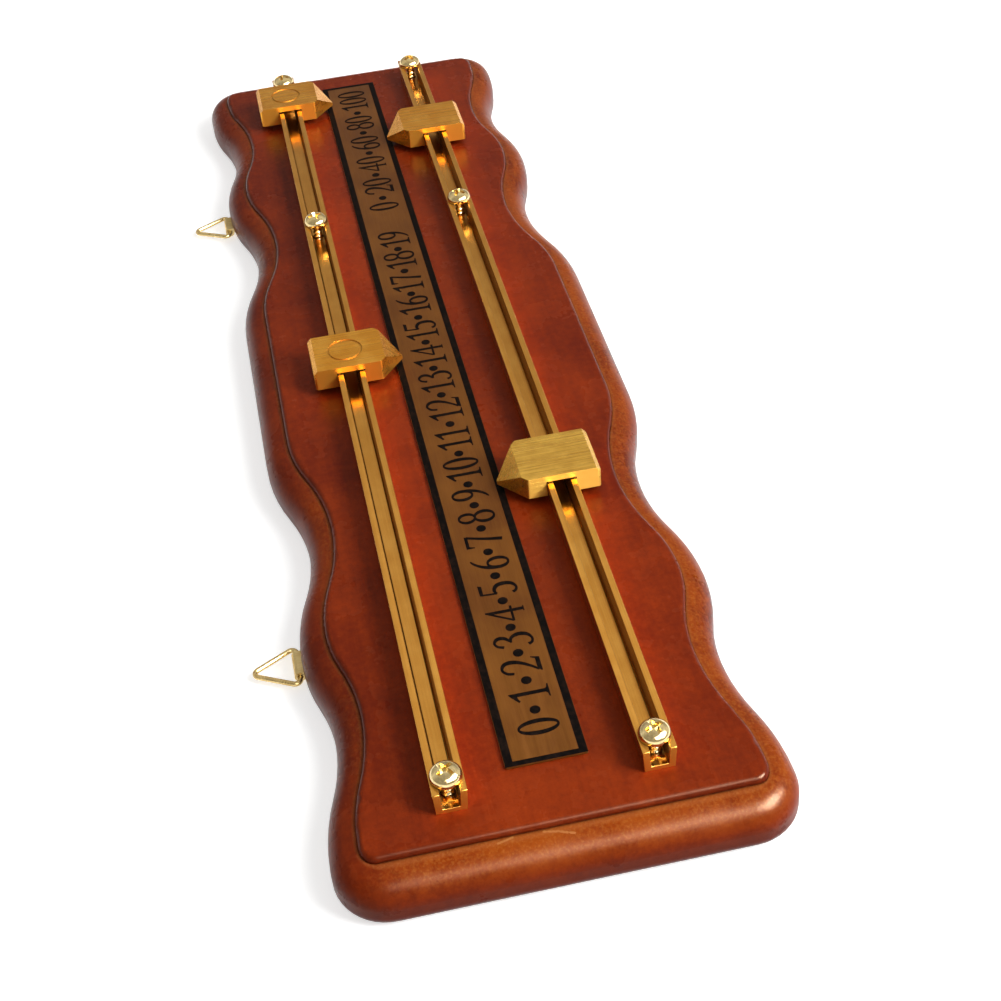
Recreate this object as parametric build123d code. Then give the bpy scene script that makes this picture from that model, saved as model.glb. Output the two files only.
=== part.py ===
from build123d import *
import os

# A wall-hung billiard scoreboard, lying on its back. Sizes are in millimetres.
# +X runs along the scale in reading direction, +Y is up when it hangs, +Z is out of the face,
# and the origin is the middle of the board's flat back.

# Board: a scalloped outline round a raised field, with a rounded edge
BOARD_LENGTH = 388.0
BOARD_THICK = 15.0
FIELD_STEP = 1.8  # the field stands this far above the rounded edge
FIELD_ARRIS = 1.6
FIELD_CORNER = 3.0
EDGE_SIDE = 7.1  # from the outline in to the field along the scalloped sides
EDGE_END = 8.2  # and at the straight ends
EDGE_ROUND_FRONT = 7.0
EDGE_ROUND_BACK = 3.5
CORNER_RADIUS = 13.0
# Crests and hollows of one quarter of the outline, from the middle towards a corner
WAVE = [(32.5, 54.4), (74.5, 46.7), (112.5, 53.3), (143.0, 48.4), (179.5, 54.4)]

# What sits on the field, measured from the board's middle
RAILS_Y = 1.1  # centre line of the pair of rails
PLATE_LENGTH = 343.4
PLATE_WIDTH = 19.6
PLATE_THICK = 0.6
PLATE_X = 3.0
PLATE_Y = 1.4
PLATE_CORNER = 0.5
FILM_THICK = 0.15
FILM_MARGIN = 1.0

# Rails: channels open upward whose outer faces make a dovetail
RAIL_Y = 24.1  # from the centre line of the pair
RAIL_LENGTH = 354.6
RAIL_TOP = 8.1
RAIL_FOOT = 7.3
RAIL_HEIGHT = 6.5
RAIL_WALL = 1.7
RAIL_FLOOR = 1.3
RAIL_HOLE = 3.6
RAIL_LEAN = (RAIL_TOP - RAIL_FOOT) / 2 / RAIL_HEIGHT

# Stop screws: their heads lie on the rails' walls and stop the pointers
STOP_SCREW_X = {"left": -172.6, "middle": 70.4, "right": 172.6}
STOP_HEAD = 7.6
STOP_HEAD_HEIGHT = 3.2
STOP_HEAD_RIM = 0.8
STOP_SHANK = 3.2
STOP_LENGTH = 16.0
STOP_POINT = 3.5
PILOT_PLAY = 0.1

# Pointers: one block on each stretch of rail, its point towards the scale
POINTER_WIDTH = 17.4
POINTER_REAR = 10.9  # behind the rail's centre line
POINTER_TIP = 16.2  # in front of it
POINTER_SHOULDER = 9.2  # where the plan starts to narrow
POINTER_BROW = 10.6  # where the top starts to fall to the tip
POINTER_TIP_FLAT = 0.6
POINTER_NOSE = 1.0  # height of the block at its tip
POINTER_FOOT = 2.1  # gap between the block and the field
POINTER_TOP = 8.7  # height of its top above the field
POINTER_BEVEL = 1.2
POINTER_CORNER = 0.8
SLOT_ROOF = 6.9  # height of the groove's roof above the field
SLOT_PLAY = 0.12
RING_MARK_OUT = 5.3  # engraved ring that tells the upper player's pointers apart
RING_MARK_WIDTH = 0.7
RING_MARK_DEPTH = 0.35
RING_MARK_Y = 0.6
POINTER_X = {
    "upper_units_pointer": -6.7,
    "upper_tens_pointer": 159.0,
    "lower_units_pointer": -71.5,
    "lower_tens_pointer": 126.4,
}

# Hangers: a wire triangle in the rolled eye of a folded strap, let into the back
HANGER_X = {"left": -110.2, "right": 110.2}
HANGER_Y = 54.3  # the rings' base wires lie just past the outline
POCKET_DEPTH = 3.3
POCKET_WIDTH = 17.0
POCKET_REACH = 21.5
POCKET_CORNER = 3.0
WIRE = 1.4
WIRE_GAP = 0.6
RING_HALF = 7.0
RING_APEX = 12.8
RING_BEND = 1.4
EYE_PLAY = 0.1
STRAP_SHEET = 0.7
STRAP_SLIT = 0.1
STRAP_WIDTH = 8.0
STRAP_LENGTH = 20.5
STRAP_CORNER = 2.5
STRAP_HOLE = 3.4
STRAP_SCREW = 15.5  # from the eye to the screw
HANGER_HEAD = 5.6
HANGER_HEAD_HEIGHT = 1.4
HANGER_HEAD_RIM = 0.5
HANGER_SHANK = 3.0
HANGER_LENGTH = 8.5
HANGER_POINT = 2.5
STRAP_FOLD = 2 * STRAP_SHEET + STRAP_SLIT
EYE_OUTER = WIRE / 2 + EYE_PLAY + STRAP_SHEET
EYE_Z = POCKET_DEPTH - EYE_OUTER


def s_curve(start, end):
    """Two equal arcs that leave the first point and reach the second along X."""
    middle = ((start[0] + end[0]) / 2, (start[1] + end[1]) / 2)
    first = TangentArc(start, middle, tangent=(1, 0))
    second = TangentArc(middle, end, tangent=first % 1)
    return [first, second]


def quarter_outline():
    """The outline from the middle of the upper side to the middle of the right end."""
    half_length = BOARD_LENGTH / 2
    crest = WAVE[-1][1]
    edges = [Line((0, WAVE[0][1]), WAVE[0])]
    for start, end in zip(WAVE, WAVE[1:]):
        edges += s_curve(start, end)
    corner_start = (half_length - CORNER_RADIUS, crest)
    corner_end = (half_length, crest - CORNER_RADIUS)
    edges.append(Line(WAVE[-1], corner_start))
    edges.append(TangentArc(corner_start, corner_end, tangent=(1, 0)))
    edges.append(Line(corner_end, (half_length, 0)))
    return edges


def board_outline():
    """The whole outline: one quarter, mirrored about both middle lines."""
    quarter = quarter_outline()
    half = quarter + [edge.mirror(Plane.XZ) for edge in quarter]
    return Wire(half + [edge.mirror(Plane.YZ) for edge in half])


def front_rim(solid):
    """The edges round the solid's front face."""
    return solid.faces().sort_by(Axis.Z)[-1].outer_wire().edges()


def back_rim(solid):
    """The edges round the solid's back face."""
    return solid.faces().sort_by(Axis.Z)[0].outer_wire().edges()


def field_outline(plan):
    """The raised field: the outline moved in, a little further at the straight ends."""
    half_length = BOARD_LENGTH / 2 - EDGE_END
    outline = offset(plan, -EDGE_SIDE) & Rectangle(2 * half_length, 2 * WAVE[-1][1])
    columns = outline.vertices().group_by(Axis.X)
    return fillet(columns[0] + columns[-1], FIELD_CORNER)


def moulded_blank():
    """The board before it is drilled: the rounded edge, and the stepped field on it."""
    plan = make_face(board_outline())
    blank = extrude(plan, BOARD_THICK - FIELD_STEP, dir=(0, 0, 1))
    blank = fillet(front_rim(blank), EDGE_ROUND_FRONT)
    blank = fillet(back_rim(blank), EDGE_ROUND_BACK)
    field = extrude(field_outline(plan), BOARD_THICK, dir=(0, 0, 1))
    field = fillet(front_rim(field), FIELD_ARRIS)
    return blank + field


def hanger_pocket(x):
    """The shallow recess for one hanger, open at the upper edge, and its pilot hole."""
    back = HANGER_Y - POCKET_REACH
    front = HANGER_Y + POCKET_REACH
    outline = Pos(x, (back + front) / 2) * RectangleRounded(POCKET_WIDTH, front - back, POCKET_CORNER)
    recess = extrude(outline, POCKET_DEPTH)
    depth = HANGER_LENGTH - STRAP_FOLD + PILOT_PLAY
    hole = Pos(x, HANGER_Y - STRAP_SCREW, POCKET_DEPTH) * Cylinder(
        (HANGER_SHANK + PILOT_PLAY) / 2, depth, align=(Align.CENTER, Align.CENTER, Align.MIN)
    )
    return recess + hole


def stop_screw_places():
    """Each stop screw's name with the place of its head's underside."""
    height = BOARD_THICK + RAIL_HEIGHT
    for row, side in (("upper", 1), ("lower", -1)):
        for spot, x in STOP_SCREW_X.items():
            yield f"{row}_{spot}_stop_screw", (x, RAILS_Y + side * RAIL_Y, height)


def make_board():
    """One piece of wood, drilled for the rails' screws and recessed for the hangers."""
    board = moulded_blank()
    depth = STOP_LENGTH - RAIL_HEIGHT + PILOT_PLAY
    for _, (x, y, _) in stop_screw_places():
        board -= Pos(x, y, BOARD_THICK) * Cylinder(
            (STOP_SHANK + PILOT_PLAY) / 2, depth, align=(Align.CENTER, Align.CENTER, Align.MAX)
        )
    for x in HANGER_X.values():
        board -= hanger_pocket(x)
    return board


def make_strip(length, width, thick, height):
    """A thin flat strip with small round corners, lying at a height above the field."""
    outline = Pos(PLATE_X, PLATE_Y, BOARD_THICK + height) * RectangleRounded(length, width, PLATE_CORNER)
    return extrude(outline, thick)


def rail_half_width(height):
    """Half the width over the rail's outer faces at a height above the field."""
    return RAIL_FOOT / 2 + RAIL_LEAN * height


def make_rail(side):
    """A channel whose walls lean outward, with a hole in its floor for each screw."""
    inner_foot = rail_half_width(RAIL_FLOOR) - RAIL_WALL
    inner_top = rail_half_width(RAIL_HEIGHT) - RAIL_WALL
    half = [
        (rail_half_width(0), 0),
        (rail_half_width(RAIL_HEIGHT), RAIL_HEIGHT),
        (inner_top, RAIL_HEIGHT),
        (inner_foot, RAIL_FLOOR),
    ]
    section = Polyline(*half, *[(-y, z) for y, z in reversed(half)], close=True)
    rail = extrude(Plane.YZ * make_face(section), RAIL_LENGTH / 2, both=True)
    rail = Pos(0, RAILS_Y + side * RAIL_Y, BOARD_THICK) * rail
    for x in STOP_SCREW_X.values():
        rail -= Pos(x, RAILS_Y + side * RAIL_Y, BOARD_THICK) * Cylinder(RAIL_HOLE / 2, 2 * RAIL_FLOOR)
    return rail


def pan_screw(head, head_height, head_rim, shank, length, point):
    """A pan head screw, head up, with the underside of its head at the origin."""
    outline = [
        Line((0, head_height), (0, -length)),
        Line((0, -length), (shank / 2, point - length)),
        Line((shank / 2, point - length), (shank / 2, 0)),
        Line((shank / 2, 0), (head / 2, 0)),
        Line((head / 2, 0), (head / 2, head_rim)),
        TangentArc((0, head_height), (head / 2, head_rim), tangent=(1, 0)),
    ]
    return revolve(Plane.XZ * make_face(outline), Axis.Z)


def pointer_side_view():
    """The block seen along the rail: sloped brow, bevelled rear and the dovetail groove."""
    foot = rail_half_width(POINTER_FOOT) + SLOT_PLAY
    roof = rail_half_width(SLOT_ROOF) + SLOT_PLAY
    corners = [
        (-POINTER_TIP, POINTER_FOOT),
        (-POINTER_TIP, POINTER_FOOT + POINTER_NOSE),
        (-POINTER_BROW, POINTER_TOP),
        (POINTER_REAR - POINTER_BEVEL, POINTER_TOP),
        (POINTER_REAR, POINTER_TOP - POINTER_BEVEL),
        (POINTER_REAR, POINTER_FOOT),
        (foot, POINTER_FOOT),
        (roof, SLOT_ROOF),
        (-roof, SLOT_ROOF),
        (-foot, POINTER_FOOT),
    ]
    return make_face(Polyline(*corners, close=True))


def pointer_plan():
    """The block seen from the front: a house shape with eased corners."""
    half = POINTER_WIDTH / 2
    corners = [
        (-half, POINTER_REAR),
        (half, POINTER_REAR),
        (half, -POINTER_SHOULDER),
        (POINTER_TIP_FLAT / 2, -POINTER_TIP),
        (-POINTER_TIP_FLAT / 2, -POINTER_TIP),
        (-half, -POINTER_SHOULDER),
    ]
    plan = make_face(Polyline(*corners, close=True))
    eased = [corner for corner in plan.vertices() if abs(corner.X) > POINTER_TIP_FLAT]
    return fillet(eased, POINTER_CORNER)


def make_pointer(name):
    """A block that rides on one rail; the upper player's blocks have an engraved ring."""
    block = extrude(Plane.YZ * pointer_side_view(), POINTER_WIDTH / 2, both=True)
    block &= extrude(pointer_plan(), POINTER_TOP)
    side = -1
    if name.startswith("upper"):
        side = 1
        ring = Circle(RING_MARK_OUT) - Circle(RING_MARK_OUT - RING_MARK_WIDTH)
        block -= extrude(Pos(0, RING_MARK_Y, POINTER_TOP) * ring, -RING_MARK_DEPTH)
    else:
        block = Rot(0, 0, 180) * block
    return Pos(POINTER_X[name], RAILS_Y + side * RAIL_Y, BOARD_THICK) * block


def make_ring(x):
    """A wire bent to a triangle; its two ends meet in the middle of the base."""
    start = (WIRE_GAP / 2, 0)
    corners = [(RING_HALF, 0), (0, RING_APEX), (-RING_HALF, 0)]
    end = (-WIRE_GAP / 2, 0)
    path = FilletPolyline(start, *corners, end, radius=RING_BEND)
    section = Plane(start, x_dir=(0, 1, 0), z_dir=(1, 0, 0)) * Circle(WIRE / 2)
    return Pos(x, HANGER_Y, EYE_Z) * sweep(section, path)


def make_strap(x):
    """A sheet strip folded round the wire: a rolled eye, then two layers with a hole."""
    layers = Pos(-STRAP_LENGTH / 2, EYE_OUTER - STRAP_FOLD / 2) * Rectangle(STRAP_LENGTH, STRAP_FOLD)
    slit = Pos(-STRAP_LENGTH / 2, EYE_OUTER - STRAP_FOLD / 2) * Rectangle(STRAP_LENGTH, STRAP_SLIT)
    section = layers + Circle(EYE_OUTER) - slit - Circle(WIRE / 2 + EYE_PLAY)
    strap = extrude(Plane.YZ * section, STRAP_WIDTH / 2, both=True)
    plan = Pos(0, (EYE_OUTER - STRAP_LENGTH) / 2) * RectangleRounded(
        STRAP_WIDTH, STRAP_LENGTH + EYE_OUTER, STRAP_CORNER
    )
    front = Rectangle(STRAP_WIDTH, 2 * EYE_OUTER)
    strap &= extrude(plan + front, EYE_OUTER, both=True)
    strap -= Pos(0, -STRAP_SCREW) * Cylinder(STRAP_HOLE / 2, 4 * STRAP_FOLD)
    return Pos(x, HANGER_Y, EYE_Z) * strap


def make_hanger_screw(x):
    """The wood screw that holds a strap, head towards the wall."""
    screw = pan_screw(
        HANGER_HEAD, HANGER_HEAD_HEIGHT, HANGER_HEAD_RIM, HANGER_SHANK, HANGER_LENGTH, HANGER_POINT
    )
    return Pos(x, HANGER_Y - STRAP_SCREW, POCKET_DEPTH - STRAP_FOLD) * Rot(180, 0, 0) * screw


def make_pieces():
    """Every piece by name, each in its place."""
    film_length = PLATE_LENGTH - 2 * FILM_MARGIN
    film_width = PLATE_WIDTH - 2 * FILM_MARGIN
    pieces = {
        "board": make_board(),
        "plate_adhesive": make_strip(film_length, film_width, FILM_THICK, 0),
        "number_plate": make_strip(PLATE_LENGTH, PLATE_WIDTH, PLATE_THICK, FILM_THICK),
        "upper_rail": make_rail(1),
        "lower_rail": make_rail(-1),
    }
    for name, place in stop_screw_places():
        pieces[name] = Pos(*place) * pan_screw(
            STOP_HEAD, STOP_HEAD_HEIGHT, STOP_HEAD_RIM, STOP_SHANK, STOP_LENGTH, STOP_POINT
        )
    for name in POINTER_X:
        pieces[name] = make_pointer(name)
    for side, x in HANGER_X.items():
        pieces[f"{side}_hanger_ring"] = make_ring(x)
        pieces[f"{side}_hanger_strap"] = make_strap(x)
        pieces[f"{side}_hanger_screw"] = make_hanger_screw(x)
    return pieces


os.makedirs("parts", exist_ok=True)
for piece_name, piece in make_pieces().items():
    export_step(piece, f"parts/{piece_name}.step")
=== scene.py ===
import logging
import math
from dataclasses import dataclass, field
from enum import Enum
from typing import ClassVar

import bmesh
import bpy
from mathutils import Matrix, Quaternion, Vector


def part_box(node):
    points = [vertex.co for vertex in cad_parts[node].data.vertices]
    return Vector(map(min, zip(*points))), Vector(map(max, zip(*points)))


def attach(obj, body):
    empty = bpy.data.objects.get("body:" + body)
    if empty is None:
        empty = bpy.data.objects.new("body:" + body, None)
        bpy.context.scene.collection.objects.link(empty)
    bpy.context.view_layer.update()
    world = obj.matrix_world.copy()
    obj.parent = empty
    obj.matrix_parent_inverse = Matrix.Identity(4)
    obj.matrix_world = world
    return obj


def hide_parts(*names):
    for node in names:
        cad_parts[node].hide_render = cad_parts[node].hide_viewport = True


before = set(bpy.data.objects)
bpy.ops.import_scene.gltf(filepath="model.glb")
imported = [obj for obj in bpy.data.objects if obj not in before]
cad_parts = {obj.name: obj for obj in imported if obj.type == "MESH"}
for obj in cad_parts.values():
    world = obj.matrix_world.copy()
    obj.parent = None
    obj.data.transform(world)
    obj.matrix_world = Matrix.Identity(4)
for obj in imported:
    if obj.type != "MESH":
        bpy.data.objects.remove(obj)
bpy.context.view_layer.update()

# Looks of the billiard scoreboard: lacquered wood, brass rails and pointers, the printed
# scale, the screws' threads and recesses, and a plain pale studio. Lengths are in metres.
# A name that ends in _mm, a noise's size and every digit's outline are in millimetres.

LOG = logging.getLogger("scoreboard")
MM = 0.001
ROOT_BODY = "board"
UPRIGHT = Vector((0, 0, 1))

Material = bpy.types.Material
Mesh = bmesh.types.BMesh
Node = bpy.types.Node
Piece = bpy.types.Object
Socket = bpy.types.NodeSocket
Pair = tuple[float, float]
Three = tuple[float, float, float]
Four = tuple[float, float, float, float]
Colour = tuple[float, float, float, float]


class Lay(Enum):
    """Which way the brush or the grain ran: how fast a pattern changes along X, Y and Z, per mm."""

    ALONG_BOARD = (0.035, 3.2, 3.2)
    ACROSS_BOARD = (3.6, 0.06, 3.6)
    ROUND_WIRE = (2.0, 2.0, 0.4)
    COARSE_ACROSS = (3.2, 0.05, 3.2)
    FIBRES = (0.05, 1.5, 1.5)
    ROLLED_SHEET = (0.12, 2.6, 2.6)


class Graph:
    """Adds nodes to one tree and joins them."""

    # The Mix node's sockets for colours.
    mix_inputs: ClassVar[tuple[int, int, int]] = (0, 6, 7)
    mix_output: ClassVar[int] = 2

    def __init__(self, tree: bpy.types.NodeTree) -> None:
        """Takes the tree to build in."""
        self.tree = tree

    def add(self, kind: str, settings: dict | None = None, **values: object) -> Node:
        """Adds a node.

        Args:
            kind: the node's type without its "ShaderNode" prefix.
            settings: properties of the node itself.
            values: a value or another node's output for each input, by its name with _ for a space.

        Returns:
            The new node.
        """
        node = self.tree.nodes.new("ShaderNode" + kind)
        for name, value in (settings or {}).items():
            setattr(node, name, value)
        for name, value in values.items():
            self.feed(node.inputs[name.replace("_", " ")], value)
        return node

    def feed(self, socket: Socket, value: object) -> None:
        """Joins an output to an input, or sets the input's own value.

        Args:
            socket: the input.
            value: the output or the value.
        """
        if isinstance(value, Socket):
            self.tree.links.new(value, socket)
        else:
            socket.default_value = value

    def feed_all(self, node: Node, *values: object) -> Node:
        """Feeds a node's inputs in their order.

        Args:
            node: the node.
            values: an output or a value for each input.

        Returns:
            The same node.
        """
        for socket, value in zip(node.inputs, values):
            self.feed(socket, value)
        return node

    def math(self, operation: str, *values: object) -> Socket:
        """The output of a Math node on the values."""
        return self.feed_all(self.add("Math", {"operation": operation}), *values).outputs[0]

    def times(self, *values: object) -> Socket:
        """The first value times the second."""
        return self.math("MULTIPLY", *values)

    def times_plus(self, *values: object) -> Socket:
        """The first value times the second, plus the third."""
        return self.math("MULTIPLY_ADD", *values)

    def vector(self, operation: str, *values: object) -> Socket:
        """The output of a Vector Math node on the values."""
        node = self.feed_all(self.add("VectorMath", {"operation": operation}), *values)
        return node.outputs["Value" if operation in ("DOT_PRODUCT", "LENGTH") else "Vector"]

    def scaled(self, vector: object, by: object) -> Socket:
        """A vector times a number."""
        return self.feed_all(self.add("VectorMath", {"operation": "SCALE"}, Scale=by), vector).outputs[0]

    def remap(self, value: object, *ends: object) -> Socket:
        """The value moved from the first two ends into the last two (0 and 1 if left out), and held there."""
        ends = ends if len(ends) > 2 else (*ends, 0.0, 1.0)
        return self.feed_all(self.add("MapRange", {"clamp": True}), value, *ends).outputs[0]

    def blend(self, share: object, first: object, second: object) -> Socket:
        """The first colour turned into the second.

        Args:
            share: how far, from 0 to 1.
            first: the colour at 0.
            second: the colour at 1.

        Returns:
            The mixed colour.
        """
        node = self.add("Mix", {"data_type": "RGBA"})
        for index, value in zip(self.mix_inputs, (share, first, second)):
            self.feed(node.inputs[index], value)
        return node.outputs[self.mix_output]

    def place_mm(self) -> Socket:
        """Where a point of the piece lies at rest, in millimetres."""
        return self.scaled(self.add("TexCoord").outputs["Object"], 1 / MM)

    def axes_mm(self) -> list[Socket]:
        """The three parts of place_mm."""
        return list(self.add("SeparateXYZ", Vector=self.place_mm()).outputs)

    def facing(self) -> list[Socket]:
        """The three parts of the surface's own normal."""
        return list(self.add("SeparateXYZ", Vector=self.add("NewGeometry").outputs["Normal"]).outputs)

    def openness(self, reach: float, samples: int, alone: bool = False) -> Socket:
        """How open a point is, from 0 to 1.

        Args:
            reach: how far off a surface still closes it in.
            samples: how many ways it looks.
            alone: whether only the piece itself counts.

        Returns:
            The share of open ways.
        """
        settings = {"samples": samples, "only_local": alone}
        return self.add("AmbientOcclusion", settings, Distance=reach).outputs["AO"]


class Effect:
    """A node group that several materials share. It is built once, on first use."""

    title: ClassVar[str]
    takes: ClassVar[dict[str, object]]
    gives: ClassVar[tuple[str, ...]]

    @classmethod
    def fill(cls, graph: Graph, *given: Socket) -> tuple[Socket, ...]:
        """Builds the group between its inputs and the outputs that it returns."""
        raise NotImplementedError

    @classmethod
    def tree(cls) -> bpy.types.NodeTree:
        """The group's tree, made if it isn't there yet.

        Returns:
            The tree.
        """
        if cls.title in bpy.data.node_groups:
            return bpy.data.node_groups[cls.title]
        tree = bpy.data.node_groups.new(cls.title, "ShaderNodeTree")
        for name, start in cls.takes.items():
            kind = "NodeSocketVector" if isinstance(start, tuple) else "NodeSocketFloat"
            tree.interface.new_socket(name, in_out="INPUT", socket_type=kind).default_value = start
        for name in cls.gives:
            tree.interface.new_socket(name, in_out="OUTPUT", socket_type="NodeSocketFloat")
        graph, given = Graph(tree), tree.nodes.new("NodeGroupInput").outputs
        made = cls.fill(graph, *given[:len(cls.takes)])
        graph.feed_all(tree.nodes.new("NodeGroupOutput"), *made)
        return tree

    @classmethod
    def on(cls, graph: Graph, *values: object) -> Node:
        """Places the group in a material with its own values, in the order of its inputs."""
        return graph.feed_all(graph.add("Group", {"node_tree": cls.tree()}), *values)


class Streaks(Effect):
    """Fine lines one way, as a brush leaves on metal and fibres leave in wood."""

    title = "Streaks"
    takes = {"Lay": (1.0, 1.0, 1.0), "Wander": 0.3}
    gives = ("Fine", "Broad")
    fine_ends: ClassVar[Pair] = (0.25, 0.75)
    broad_ends: ClassVar[Pair] = (0.3, 0.7)
    broad_scale: ClassVar[float] = 0.22
    bend_scale: ClassVar[float] = 0.05

    @classmethod
    def fill(cls, graph: Graph, *given: Socket) -> tuple[Socket, ...]:
        """Two stretched noises, the broad one bent a little by a third.

        Args:
            graph: the group's own tree.
            given: its inputs, in the order of takes.

        Returns:
            The two masks.
        """
        lay = graph.vector("MULTIPLY", graph.place_mm(), given[0])
        fine = graph.add("TexNoise", Vector=lay, Scale=1.0, Detail=5.0, Roughness=0.65)
        bend = graph.add("TexNoise", Vector=graph.place_mm(), Scale=cls.bend_scale, Detail=1.0)
        moved = graph.vector("ADD", lay, graph.scaled(bend.outputs["Color"], given[1]))
        broad = graph.add("TexNoise", Vector=moved, Scale=cls.broad_scale, Detail=2.0)
        return graph.remap(fine.outputs[0], *cls.fine_ends), graph.remap(broad.outputs[0], *cls.broad_ends)


class Mottle(Effect):
    """Soft uneven patches, for stain, tarnish and finger marks."""

    title = "Mottle"
    takes = {"Size": 10.0, "Low": 0.4, "High": 0.6}
    gives = ("Patches",)

    @classmethod
    def fill(cls, graph: Graph, *given: Socket) -> tuple[Socket, ...]:
        """One noise whose patches are about Size millimetres wide, cut to the range Low to High.

        Args:
            graph: the group's own tree.
            given: its inputs, in the order of takes.

        Returns:
            The mask.
        """
        scale = graph.math("DIVIDE", 1.0, given[0])
        noise = graph.add("TexNoise", Vector=graph.place_mm(), Scale=scale, Detail=3.0, Roughness=0.55)
        return (graph.remap(noise.outputs[0], *given[1:]),)


class EdgeWear(Effect):
    """Where edges are rubbed: the normal of a rounded copy turns away from the real one there."""

    title = "Edge wear"
    takes = {"Reach": 0.2 * MM, "Strength": 6.0}
    gives = ("Rubbed",)
    samples: ClassVar[int] = 4
    break_scale: ClassVar[float] = 1.1
    breaks: ClassVar[Four] = (0.3, 0.65, 0.35, 1.0)

    @classmethod
    def fill(cls, graph: Graph, *given: Socket) -> tuple[Socket, ...]:
        """Compares the two normals and breaks the mask up with noise.

        Args:
            graph: the group's own tree.
            given: its inputs, in the order of takes.

        Returns:
            The mask.
        """
        bevel = graph.add("Bevel", {"samples": cls.samples}, Radius=given[0])
        flat = graph.add("NewGeometry").outputs["Normal"]
        turned = graph.math("SUBTRACT", 1.0, graph.vector("DOT_PRODUCT", bevel.outputs[0], flat))
        noise = graph.add("TexNoise", Vector=graph.place_mm(), Scale=cls.break_scale, Detail=3.0)
        broken = graph.times(turned, graph.remap(noise.outputs[0], *cls.breaks))
        return (graph.remap(graph.times(broken, given[1]), 0.0, 1.0),)


def patches(graph: Graph, size_low_high: Three) -> Socket:
    """The mask of one Mottle group: its patches' size, and the noise's range."""
    return Mottle.on(graph, *size_low_high).outputs[0]


def new_material(name: str) -> tuple[Material, Graph, Node]:
    """An empty material with a Principled shader.

    Args:
        name: the material's name.

    Returns:
        The material, a graph on its tree and its shader.
    """
    material = bpy.data.materials.new(name)
    material.use_nodes = True
    material.node_tree.nodes.clear()
    graph = Graph(material.node_tree)
    shader = graph.add("BsdfPrincipled")
    graph.feed(graph.add("OutputMaterial").inputs["Surface"], shader.outputs[0])
    return material, graph, shader


def bump(graph: Graph, height: Socket, depth: float, strength: float) -> Socket:
    """The normal of a surface raised by a height from 0 to 1 times a depth in metres."""
    return graph.add("Bump", Height=height, Distance=depth, Strength=strength).outputs[0]


def finish(
    graph: Graph, shader: Node, colour: Socket, rough: Socket, relief: tuple[Socket, float, float],
    **levels: object,
) -> None:
    """Feeds a shader.

    Args:
        graph: the material's tree.
        shader: its shader.
        colour: the base colour.
        rough: the roughness.
        relief: a height from 0 to 1, its depth in metres and the bump's strength.
        levels: the shader's constant values, by input name with _ for a space.
    """
    graph.feed(shader.inputs["Base Color"], colour)
    graph.feed(shader.inputs["Roughness"], rough)
    graph.feed(shader.inputs["Normal"], bump(graph, *relief))
    for name, value in levels.items():
        shader.inputs[name.replace("_", " ")].default_value = value


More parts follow.
